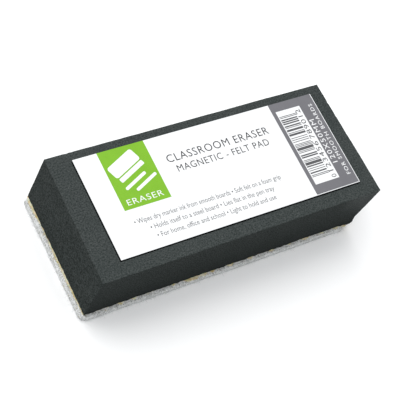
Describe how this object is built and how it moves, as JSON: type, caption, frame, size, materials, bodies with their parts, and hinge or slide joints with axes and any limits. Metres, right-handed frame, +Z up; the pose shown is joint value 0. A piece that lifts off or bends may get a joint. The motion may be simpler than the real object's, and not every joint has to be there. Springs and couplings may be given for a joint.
{
  "type": "magnetic whiteboard eraser",
  "caption": "Magnetic board eraser: a rectangular dark foam block to hold, with a felt wiping pad glued under it, disc magnets sunk in its underside and a printed label on top.",
  "frame": {"origin": "middle of the footprint, on the underside of the felt pad, which is the wiping face", "axes": "+X along the block towards the label's barcode end, +Y across it towards the top of the label's print, +Z up from the wiping face to the label"},
  "size_m": [0.1214, 0.0508, 0.0307],
  "materials": {
    "foam": "fine closed-cell foam, dull",
    "felt": "grey needle felt",
    "hot_melt": "yellowed glue",
    "ferrite": "ground, dull",
    "label_film": "printed self-adhesive film, satin"
  },
  "bodies": {
    "root": {"foam_body": "foam", "felt_pad": "felt", "glue_layer": "hot_melt", "magnet_left": "ferrite", "magnet_right": "ferrite", "magnet_glue_left": "hot_melt", "magnet_glue_right": "hot_melt", "label": "label_film"}
  },
  "joints": []
}
